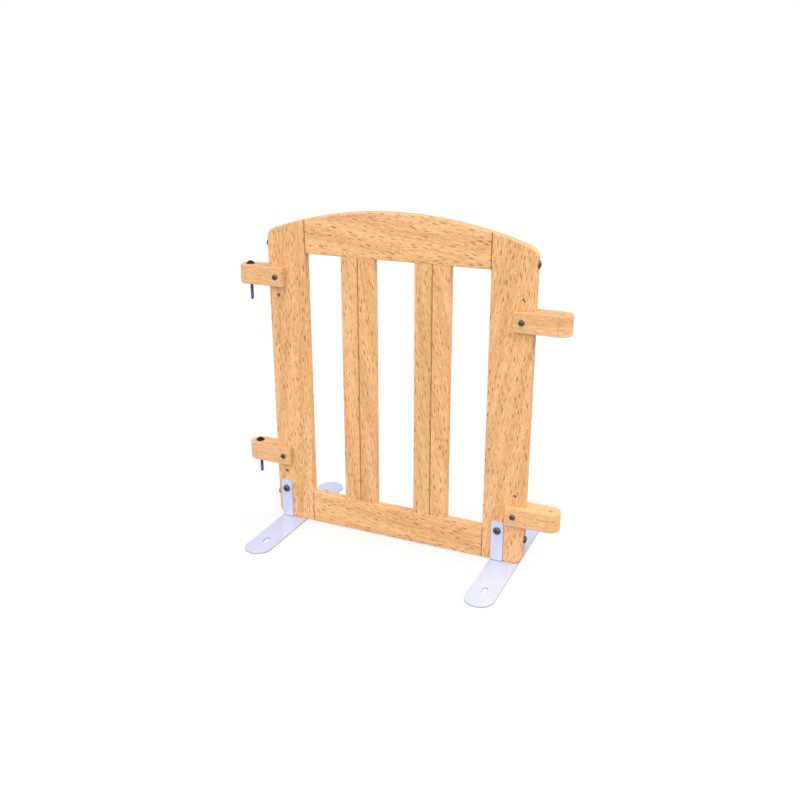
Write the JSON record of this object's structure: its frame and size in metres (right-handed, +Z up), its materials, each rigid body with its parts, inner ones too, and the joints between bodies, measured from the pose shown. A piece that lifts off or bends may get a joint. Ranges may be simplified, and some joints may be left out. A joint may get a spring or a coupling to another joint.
{
  "type": "nursery gate panel",
  "caption": "Low arched wooden gate panel with slats, steel feet and forked hinge blocks that link to the next panel by lift-out pivot bolts.",
  "frame": {"origin": "on the floor under the middle of the panel", "axes": "+X along the panel to the viewer's right, front faces -Y, +Z up"},
  "size_m": [0.623, 0.332, 0.611],
  "materials": {
    "beech": "clear satin lacquer",
    "dark_steel": "dark zinc plating",
    "black_steel": "black oxide",
    "zinc_steel": "bright zinc plating",
    "brass": "turned",
    "powder_coated_steel": "white semi-gloss powder coat",
    "blue_nylon": "matte"
  },
  "bodies": {
    "panel": {"left_stile": "beech", "right_stile": "beech", "top_rail": "beech", "bottom_rail": "beech", "slat_1": "beech", "slat_2": "beech", "slat_3": "beech", "slat_4": "beech", "upper_left_block": "beech", "upper_left_block_bolt": "dark_steel", "upper_left_block_nut": "zinc_steel", "upper_right_block": "beech", "upper_right_block_bolt": "dark_steel", "upper_right_block_nut": "zinc_steel", "lower_left_block": "beech", "lower_left_block_bolt": "dark_steel", "lower_left_block_nut": "zinc_steel", "lower_right_block": "beech", "lower_right_block_bolt": "dark_steel", "lower_right_block_nut": "zinc_steel", "top_left_rail_bolt": "dark_steel", "top_left_barrel_nut": "zinc_steel", "top_left_dowels": "beech", "top_right_rail_bolt": "dark_steel", "top_right_barrel_nut": "zinc_steel", "top_right_dowels": "beech", "bottom_left_rail_bolt": "dark_steel", "bottom_left_barrel_nut": "zinc_steel", "bottom_left_dowels": "beech", "bottom_right_rail_bolt": "dark_steel", "bottom_right_barrel_nut": "zinc_steel", "bottom_right_dowels": "beech", "left_foot": "powder_coated_steel", "left_foot_bolt": "dark_steel", "left_foot_washer": "zinc_steel", "left_foot_nut": "zinc_steel", "right_foot": "powder_coated_steel", "right_foot_bolt": "dark_steel", "right_foot_washer": "zinc_steel", "right_foot_nut": "zinc_steel", "upper_threaded_insert": "brass", "lower_threaded_insert": "brass"},
    "upper_pivot_washer": {"upper_pivot_washer": "black_steel"},
    "lower_pivot_washer": {"lower_pivot_washer": "black_steel"},
    "upper_pivot_bolt": {"upper_pivot_bolt": "black_steel", "upper_thread_patch": "blue_nylon"},
    "lower_pivot_bolt": {"lower_pivot_bolt": "black_steel", "lower_thread_patch": "blue_nylon"}
  },
  "joints": [
    {"name": "upper_pivot_lift", "type": "slide", "parent": "panel", "child": "upper_pivot_washer", "axis": [0, 0, 1], "range_m": [0, 0.066]},
    {"name": "upper_pivot_spin", "type": "hinge", "parent": "upper_pivot_washer", "child": "upper_pivot_bolt", "pos_m": [-0.293, 0, 0.484], "axis": [0, 0, 1], "continuous": true},
    {"name": "lower_pivot_lift", "type": "slide", "parent": "panel", "child": "lower_pivot_washer", "axis": [0, 0, 1], "range_m": [0, 0.066]},
    {"name": "lower_pivot_spin", "type": "hinge", "parent": "lower_pivot_washer", "child": "lower_pivot_bolt", "pos_m": [-0.293, 0, 0.134], "axis": [0, 0, 1], "continuous": true}
  ]
}
